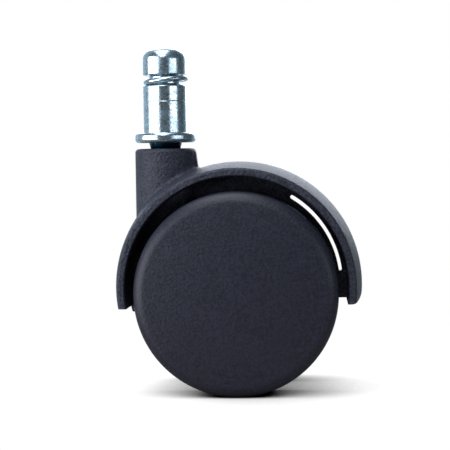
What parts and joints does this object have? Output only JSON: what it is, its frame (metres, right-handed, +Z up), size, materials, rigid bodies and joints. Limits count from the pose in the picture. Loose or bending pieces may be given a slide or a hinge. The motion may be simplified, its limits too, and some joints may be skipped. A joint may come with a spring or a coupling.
{
  "type": "chair caster wheel",
  "caption": "Twin-wheel hooded swivel caster with an offset barrel and a round grip-ring stem for an office chair.",
  "frame": {"origin": "on the swivel axis, at the top face of the stem's collar, which the chair leg rests on", "axes": "+Z up along the stem and swivel axis, +X from the swivel axis towards the axle, Y along the axle with the front wheel at -Y"},
  "size_m": [0.0619, 0.044, 0.0861],
  "materials": {
    "housing_plastic": "fine-grained",
    "wheel_plastic": "satin",
    "stem_zinc": "bright zinc plated",
    "ring_steel": "zinc-plated spring wire",
    "acetal": "smooth natural acetal",
    "axle_steel": "ground",
    "clip_steel": "blackened spring steel"
  },
  "bodies": {
    "stem": {"stem": "stem_zinc", "stem_retainer": "clip_steel"},
    "grip_ring": {"grip_ring": "ring_steel"},
    "housing": {"housing": "housing_plastic", "stem_sleeve": "acetal", "thrust_disc": "axle_steel", "axle": "axle_steel", "front_thrust_washer": "acetal", "rear_thrust_washer": "acetal", "front_axle_retainer": "clip_steel", "rear_axle_retainer": "clip_steel"},
    "front_wheel": {"front_wheel": "wheel_plastic", "front_wheel_cover": "wheel_plastic", "front_hub_bush": "acetal"},
    "rear_wheel": {"rear_wheel": "wheel_plastic", "rear_wheel_cover": "wheel_plastic", "rear_hub_bush": "acetal"}
  },
  "joints": [
    {"name": "swivel", "type": "hinge", "parent": "stem", "child": "housing", "pos_m": [0, 0, 0], "axis": [0, 0, 1], "continuous": true},
    {"name": "front_wheel_spin", "type": "hinge", "parent": "housing", "child": "front_wheel", "pos_m": [0.01845, 0, -0.0398], "axis": [0, 1, 0], "continuous": true},
    {"name": "rear_wheel_spin", "type": "hinge", "parent": "housing", "child": "rear_wheel", "pos_m": [0.01845, 0, -0.0398], "axis": [0, 1, 0], "continuous": true},
    {"name": "grip_ring_float", "type": "hinge", "parent": "stem", "child": "grip_ring", "pos_m": [0.00035, 0, 0.017], "axis": [0, 1, 0], "range_deg": [0, 5.5]}
  ]
}
